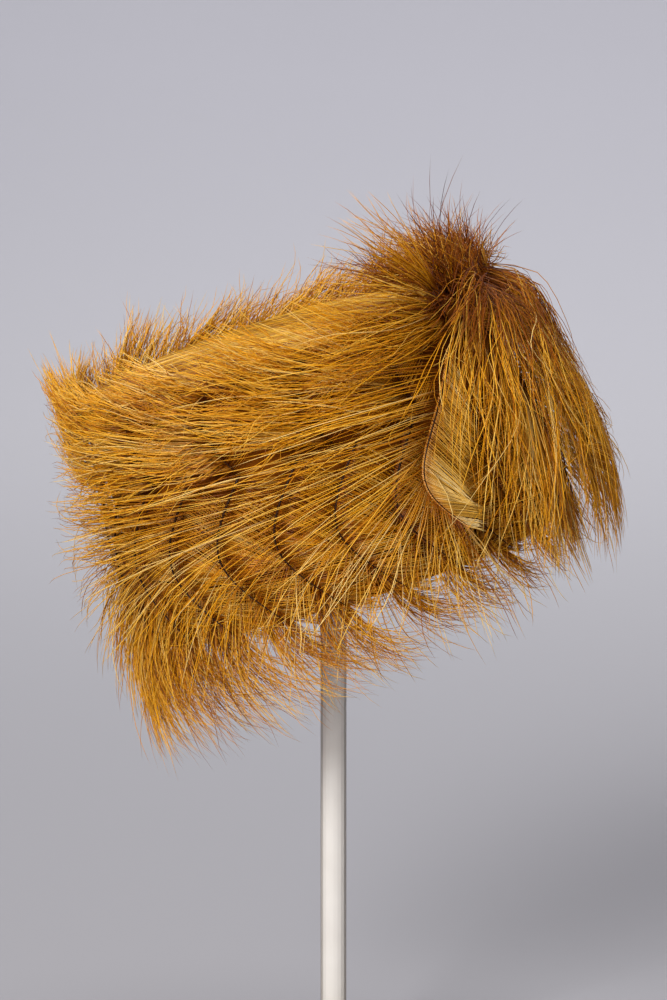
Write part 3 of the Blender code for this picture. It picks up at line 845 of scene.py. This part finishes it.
for row in END_FEATHERS:

    def end_quill(share, row=row):
        return falling(row["above"] * MM, row["below"] * MM, share)

    place = over_place(MEAN_RADIUS * math.radians(row["turn"]), END_HEIGHT)
    ways = {"wild": 2.2, "crowd": 1.15, "locks": 24, "stand": 0.06}
    left = combed(end_quill, FALL_LEFT_FLOW, LEFT, count=230, stations=10, tone=0.52, **ways)
    ways = {"wild": 2.2, "crowd": 1.15, "stand": 0.14, "most": 15}
    right = combed(end_quill, FALL_RIGHT_FLOW, RIGHT, count=170, stations=10, tone=0.46, **ways)
    ways = {"cling": 0.3, "wild": 2.6, "stand": 0.6, "most": 19}
    standing = combed(end_quill, STAND_OFF_FLOW, RIGHT, count=70, stations=7, tone=0.5, **ways)
    parts = (
        (flue_group(place, left, radius=0.26 * MM, depth=2.6 * MM), GOLD),
        (flue_group(place, right, radius=0.26 * MM, depth=2.6 * MM), GOLD),
        (flue_group(place, standing, radius=0.22 * MM, depth=1.0 * MM), GOLD),
        (quill_group(place, end_quill, radius=0.45 * MM), QUILL),
    )
    made = piece(row["name"] + "_flues", parts, row["name"])
    total += made["triangles"]
print("end feather triangles:", total)

# %% [markdown]
# ## The crest
# Dark tufts stand up where the last feathers are sewn off at the crown's edge. Each is a fan of short
# flues from one root, and they bend and twist, because they are cut ends. Others leave the same root
# sideways, arch over the edge and fall on the wall, so that the tufts grow out of the curtain below
# them.

# %% Set out the tufts
TUFTS = (
    {"turn": 68, "length": 42, "spread": 26, "lean": 0.05, "left": 112, "right": -20},
    {"turn": 87, "length": 54, "spread": 22, "lean": 0.15, "left": 75, "right": -60},
    {"turn": 106, "length": 42, "spread": 28, "lean": 0.0, "left": 60, "right": -75},
    {"turn": 139, "length": 34, "spread": 34, "lean": 0.34, "left": 60, "right": -60},
)
TUFT_INSET = 6.7 * MM
TUFT_HEIGHT = 60.5 * MM


def tuft_root(turn):
    reach = HALF_LENGTH_TOP - TUFT_INSET
    depth = HALF_LENGTH_TOP * OVAL - TUFT_INSET
    return np.array([reach * math.sin(turn), -depth * math.cos(turn), TUFT_HEIGHT])


print("tallest tuft, mm:", max(row["length"] for row in TUFTS))

# %% Grow the flues that stand up
FAN_DEPTH = 0.6
FAN_LEAN = [0.12, 0, 0]
FAN_HALF_WIDTH = 10 * MM
FAN_SHIFT = 1 * MM
FAN_SINK = 2 * MM
ROOT_SPREAD = 2.0 * MM


def standing_tuft(row, count, stations):
    """Flues that stand up from the root in a fan, longer and shorter ones mixed."""
    steps = np.linspace(0, 1, stations)[None]
    turn = math.radians(row["turn"])
    outward = np.array([math.sin(turn), -math.cos(turn), 0])
    way = chance.uniform(0, math.tau, count)
    tilt = np.radians(row["spread"] * 1.25) * np.sqrt(chance.uniform(0, 1, count))
    flat = np.sin(tilt)
    fan = np.stack([np.cos(way) * flat, FAN_DEPTH * np.sin(way) * flat, np.cos(tilt)], axis=-1)
    aim = unit(fan - outward * row["lean"] - FAN_LEAN)
    shift = chance.uniform(-1, 1, count)
    length = row["length"] * MM * chance.uniform(0.2, 1.0, count) * (0.88 - 0.22 * shift)
    bend = np.cross(aim, chance.normal(0, 1, (count, 3))) * 0.7 + [-0.2, 0, -0.2]
    path = aim[:, None] * steps[..., None] + bend[:, None] * (steps**2)[..., None] * 0.5
    points = tuft_root(turn) + path * length[:, None, None]
    points += chance.normal(0, ROOT_SPREAD, (count, 1, 3)) * [1.0, 2.8, 1.0]
    points[..., 0] += shift[:, None] * FAN_HALF_WIDTH + FAN_SHIFT
    points[..., 2] -= FAN_SINK
    radii = 0.30 * MM * chance.uniform(0.7, 1.2, count)[:, None] * (1 - 0.7 * steps)
    side = np.broadcast_to(outward, points.shape)
    tones = np.clip(chance.normal(0.48, 0.24, count), 0.02, 0.98)
    return leaning_needles(points, points + side, radii, tones)


print("the standing fan is wide, mm:", round(2 * FAN_HALF_WIDTH / MM))

# %% Grow the flues that fall
PUFF = 8 * MM
ARCH = 13 * MM
ARCH_RUN = 36 * MM
SETTLE_RUN = 16 * MM
FALL_SPREAD = 1.5 * MM


def fallen_tuft(row, count, stations):
    """Flues that leave the root sideways, bend over the crown's edge and lie down on the wall."""
    steps = np.linspace(0, 1, stations)[None]
    turn = math.radians(row["turn"])
    way = np.radians(chance.uniform(row["right"], row["left"], count))[:, None]
    length = chance.uniform(26, 62, count)[:, None] * MM
    bend = chance.uniform(0.3, 0.6, count)[:, None]
    angle = way * (1 - bend * steps)
    each = length / (stations - 1)
    x = -np.cumsum(np.sin(angle) * each, axis=1)
    y = -np.cumsum(np.cos(angle) * each, axis=1)
    place = over_place(MEAN_RADIUS * turn, CROWN_HEIGHT)
    puff = 4 * steps * (1 - steps) * chance.uniform(0, PUFF, count)[:, None]
    wall = place(x, y, chance.uniform(1, 5, count)[:, None] * MM + puff)
    part = np.clip(steps * length / SETTLE_RUN, 0, 1)[..., None]
    part = part * part * (3 - 2 * part)
    points = tuft_root(turn) + (wall - tuft_root(turn)) * part
    arch = np.sin(np.clip(steps * length / ARCH_RUN, 0, 1) * math.pi)
    points[..., 2] += arch * chance.uniform(0, ARCH, count)[:, None]
    points += chance.normal(0, FALL_SPREAD, (count, 1, 3)) * [1.5, 3.0, 0.6]
    outward = np.array([math.sin(turn), -math.cos(turn), 0.4])
    radii = 0.26 * MM * chance.uniform(0.7, 1.2, count)[:, None] * (1 - 0.65 * steps)
    side = np.broadcast_to(outward, points.shape)
    tones = np.clip(chance.normal(0.55, 0.2, count), 0.02, 0.98)
    return leaning_needles(points, points + side, radii, tones)


total = 0
for number, row in enumerate(TUFTS):
    standing = standing_tuft(row, count=420, stations=8)
    fallen = fallen_tuft(row, count=220, stations=10)
    node = f"crest_tuft_{number + 1}"
    made = piece(node + "_flues", ((standing, RUST), (fallen, RUST)), node)
    total += made["triangles"]
print("crest triangles:", total)

# %% [markdown]
# ## The crown
# Long smooth feathers lie along the crown. Their webs are unbroken, so the flues are close and nearly
# parallel, and the light slides along them as on satin.

# %% Set out the crown feathers
CROWN_FEATHERS = (
    {"middle": -62, "left": -62, "right": 60},
    {"middle": -37, "left": -84, "right": 80},
    {"middle": -12, "left": -94, "right": 86},
    {"middle": 12, "left": -94, "right": 86},
    {"middle": 37, "left": -84, "right": 80},
    {"middle": 62, "left": -62, "right": 52},
)
CROWN_WIDTH = 30 * MM
CROWN_SLOPE = 0.09
CROWN_GAP = 1.3 * MM
CROWN_FLUES = 520
CROWN_STATIONS = 6
CROWN_BANDS = 60
print("longest crown feather, mm:", max(row["right"] - row["left"] for row in CROWN_FEATHERS))

# %% Grow the crown feathers


def crown_web(number, row):
    """The flues of one crown feather, on both sides of a line through its middle."""
    count = CROWN_FLUES
    steps = np.linspace(0, 1, CROWN_STATIONS)[None]
    middle, left, right = row["middle"] * MM, row["left"] * MM, row["right"] * MM
    side = np.where(np.arange(count) % 2, 1.0, -1.0)
    root = right - (right - left) * chance.uniform(-0.02, 0.96, count)
    run = chance.uniform(30, 52, count) * MM
    along = np.clip(root[:, None] - run[:, None] * steps, left - 4 * MM, right)
    share = (along - left) / (right - left) * 2 - 1
    half = CROWN_WIDTH / 2 * np.maximum(1 - share**2, 0.03) ** 0.45
    deep = side[:, None] * half * (1 - (1 - steps) ** 1.7) * chance.uniform(0.85, 1.08, count)[:, None]
    dome = CROWN_DOME * np.maximum(0, 1 - (along**2 + (middle + deep) ** 2) / HALF_LENGTH_TOP**2)
    tip = CROWN_SLOPE * (deep + CROWN_WIDTH / 2)
    up = CROWN_HEIGHT + CROWN_GAP + dome + tip + chance.uniform(0, 0.6, count)[:, None] * MM
    points = np.stack([along, middle + deep, up], axis=-1)
    radii = 0.32 * MM * chance.uniform(0.8, 1.2, count)[:, None] * (1 - 0.6 * steps)
    upwards = np.broadcast_to([0.0, 0.0, 1.0], points.shape)
    tones = 0.32 + 0.2 * np.sin(root * CROWN_BANDS + number) + chance.normal(0, 0.14, count)
    return leaning_needles(points, points + upwards, radii, np.clip(tones, 0.02, 0.98))


total = 0
for number, row in enumerate(CROWN_FEATHERS):
    node = f"crown_feather_{number + 1}"
    made = piece(node + "_web", ((crown_web(number, row), STRAW),), node)
    total += made["triangles"]
print("crown triangles:", total)

# %% [markdown]
# ## The foundation and the stand
# The drum is stiff brown felt, pressed wool with a short nap. The stand is cast acrylic with a sanded
# face, which scatters the light inside it, so that the pole looks milky. A painted shade darkens its edges.

# %% Make the felt and the acrylic
# The nap is drawn at seven tufts of fibre in five millimetres, coarser than it is, so that it shows. The
# dye of the felt is cloudy, three clouds in fifty millimetres, and the frosting comes in patches of 25.
NAP = 5 * MM / 7
NAP_DEPTH = 0.4 * MM
FELT_CLOUD = 50 * MM / 3
FROST_CLOUD = 25 * MM


def brown_felt():
    """Felt scatters light all ways, so it has no gloss, and its nap blurs every shade on it."""
    made, tree, shader = new_material("brown_wool_felt")
    place = add(tree, "ShaderNodeTexCoord").outputs["Object"]
    fibre = add(tree, "ShaderNodeTexNoise", {"Vector": place, "Scale": 1 / NAP, "Detail": 5.0})
    cloud = add(tree, "ShaderNodeTexNoise", {"Vector": place, "Scale": 1 / FELT_CLOUD, "Detail": 3.0})
    browns = ((0.3, "#5E2A02"), (0.7, "#7E4406"))
    colour = add(tree, "ShaderNodeValToRGB", {"Fac": cloud.outputs["Fac"]}, browns)
    nap = {"Height": fibre.outputs["Fac"], "Strength": 0.5, "Distance": NAP_DEPTH}
    bump = add(tree, "ShaderNodeBump", nap)
    tree.links.new(colour.outputs["Color"], shader.inputs["Base Color"])
    tree.links.new(bump.outputs["Normal"], shader.inputs["Normal"])
    shader.inputs["Roughness"].default_value = 0.92
    shader.inputs["Specular IOR Level"].default_value = 0.08
    return made


def frosted_acrylic():
    """Sanded acrylic is pale and milky, with a painted shade along the edges that turn from the view."""
    made, tree, shader = new_material("frosted_cast_acrylic")
    place = add(tree, "ShaderNodeTexCoord").outputs["Object"]
    cloud = add(tree, "ShaderNodeTexNoise", {"Vector": place, "Scale": 1 / FROST_CLOUD, "Detail": 2.0})
    pales = ((0.3, "#ECE5DC"), (0.7, "#F6F0E8"))
    milky = add(tree, "ShaderNodeValToRGB", {"Fac": cloud.outputs["Fac"]}, pales)
    # Painted shade: the colour darkens where the surface turns away from the view, along the pole's edges.
    edge = add(tree, "ShaderNodeLayerWeight", {"Blend": 0.45})
    darker = ((0.25, "#FFFFFF"), (0.75, "#8E857C"))
    clear = add(tree, "ShaderNodeValToRGB", {"Fac": edge.outputs["Facing"]}, darker)
    colour = add(
        tree,
        "ShaderNodeMix",
        {MIX_FACTOR: 1.0, MIX_A: milky.outputs["Color"], MIX_B: clear.outputs["Color"]},
        data_type="RGBA",
        blend_type="MULTIPLY",
    )
    tree.links.new(colour.outputs[MIX_RESULT], shader.inputs["Base Color"])
    shader.inputs["Roughness"].default_value = 0.38
    shader.inputs["IOR"].default_value = 1.49
    shader.inputs["Transmission Weight"].default_value = 0.25
    return made


FELT = brown_felt()
ACRYLIC = frosted_acrylic()
print("materials made:", FELT.name, ACRYLIC.name)

# %% Dress the foundation and the stand
FINISHES = {
    "hat_foundation": FELT,
    "stand_base": ACRYLIC,
    "stand_pole": ACRYLIC,
    "stand_plate": ACRYLIC,
}
for node, finish in FINISHES.items():
    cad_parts[node].data.materials.clear()
    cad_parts[node].data.materials.append(finish)
print("dressed:", list(FINISHES))

# %% [markdown]
# ## Floor, light and camera
# The hat stood before a plain grey sweep, a floor that curves up into the wall, under a large soft
# light from the upper left. This one goes all the way round like a bowl, so that the hat can be
# looked at from any side. A long lens two metres away keeps the drum's sides straight.

# %% Build the sweep
FLAT_TO = 1.8
WALL_FROM = 4.6
CURVE_TOP = 1.0
WALL_TOP = 3.0
CURVE_STEPS = 16
SEGMENTS = 48
# The paper's painted shade grows lighter this way: up the wall, to the back, and a little to the right.
SLANT = (0.06, 0.22, 0.5)


def grey_paper():
    """Seamless paper is matte. Its grey is a painted shade, darker low down and in front, lighter up the
    wall.
    """
    made, tree, shader = new_material("matte_grey_paper")
    spot = add(tree, "ShaderNodeTexCoord").outputs["Object"]
    painted_shade = add(tree, "ShaderNodeVectorMath", {0: spot, 1: SLANT}, operation="DOT_PRODUCT")
    greys = ((0.0, "#A4A2A6"), (0.5, "#B4B3B8"), (1.0, "#BEBDC4"))
    colour = add(tree, "ShaderNodeValToRGB", {"Fac": painted_shade.outputs["Value"]}, greys)
    tree.links.new(colour.outputs["Color"], shader.inputs["Base Color"])
    shader.inputs["Roughness"].default_value = 0.95
    return made


def sweep():
    """A round floor that rises into a wall in one smooth curve, far enough off to walk round the hat."""
    profile = [(0.0, 0.0), (FLAT_TO / 2, 0.0), (FLAT_TO, 0.0)]
    for a in np.linspace(0, math.pi / 2, CURVE_STEPS + 1)[1:]:
        away = FLAT_TO + (WALL_FROM - FLAT_TO) * math.sin(a)
        profile.append((away, CURVE_TOP * (1.0 - math.cos(a))))
    profile.append((WALL_FROM, WALL_TOP))
    turns = np.linspace(0, math.tau, SEGMENTS + 1)[:-1]
    verts = [(r * math.sin(a), r * math.cos(a), z) for r, z in profile for a in turns]
    faces = []
    for low in range(0, len(verts) - SEGMENTS, SEGMENTS):
        for k in range(SEGMENTS):
            high, after = low + SEGMENTS, (k + 1) % SEGMENTS
            faces.append((low + k, low + after, high + after, high + k))
    mesh = bpy.data.meshes.new("sweep")
    mesh.from_pydata(verts, [], faces)
    mesh.shade_smooth()
    mesh.materials.append(grey_paper())
    made = bpy.data.objects.new("sweep", mesh)
    bpy.context.scene.collection.objects.link(made)
    return made


floor = sweep()
print("faces of the sweep:", len(floor.data.polygons))

# %% Place the camera
CAMERA_RISE = math.radians(8.5)
CAMERA_AWAY = 2.0
LOOK_AT = np.array([0.0, 0.0, 0.2873])
FRAME_HEIGHT = 0.488
FILM_HEIGHT = 36
camera = bpy.data.objects.new("camera", bpy.data.cameras.new("camera"))
bpy.context.scene.collection.objects.link(camera)
camera.location = LOOK_AT + CAMERA_AWAY * np.array([0, -math.cos(CAMERA_RISE), math.sin(CAMERA_RISE)])
camera.rotation_euler = (math.pi / 2 - CAMERA_RISE, 0, 0)
camera.data.sensor_fit = "VERTICAL"
camera.data.sensor_height = FILM_HEIGHT
camera.data.lens = FILM_HEIGHT * CAMERA_AWAY / FRAME_HEIGHT
camera.data.clip_start = 0.05
bpy.context.scene.camera = camera
print("lens, mm:", round(camera.data.lens))

# %% Hang the lights
HAT = (0.0, 0.0, 0.29)
BEHIND = (0.2, 4.0, 0.0)
LIGHTS = (
    {"name": "key", "at": (-1.05, -1.9, 1.3), "size": 1.0, "watts": 69, "to": HAT},
    {"name": "fill", "at": (1.6, -1.3, 0.9), "size": 1.6, "watts": 6, "to": HAT},
    {"name": "top", "at": (0.1, 0.1, 1.9), "size": 1.0, "watts": 10, "to": HAT},
    {"name": "wall", "at": (0.2, 1.9, 2.4), "size": 1.6, "watts": 56, "to": BEHIND},
)
for row in LIGHTS:
    light = bpy.data.lights.new(row["name"], "AREA")
    light.shape = "DISK"
    light.size = row["size"]
    light.energy = row["watts"]
    lamp = bpy.data.objects.new(row["name"], light)
    bpy.context.scene.collection.objects.link(lamp)
    lamp.location = row["at"]
    way = np.array(row["to"]) - np.array(row["at"])
    tilt = math.acos(-way[2] / np.linalg.norm(way))
    lamp.rotation_euler = (tilt, 0, math.atan2(way[1], way[0]) - math.pi / 2)

world = bpy.data.worlds.new("studio")
world.use_nodes = True
background = world.node_tree.nodes["Background"]
background.inputs["Color"].default_value = linear("#B8B8C0")
background.inputs["Strength"].default_value = 0.40
bpy.context.scene.world = world
bpy.context.scene.view_settings.view_transform = "Standard"
print("lights:", [row["name"] for row in LIGHTS])
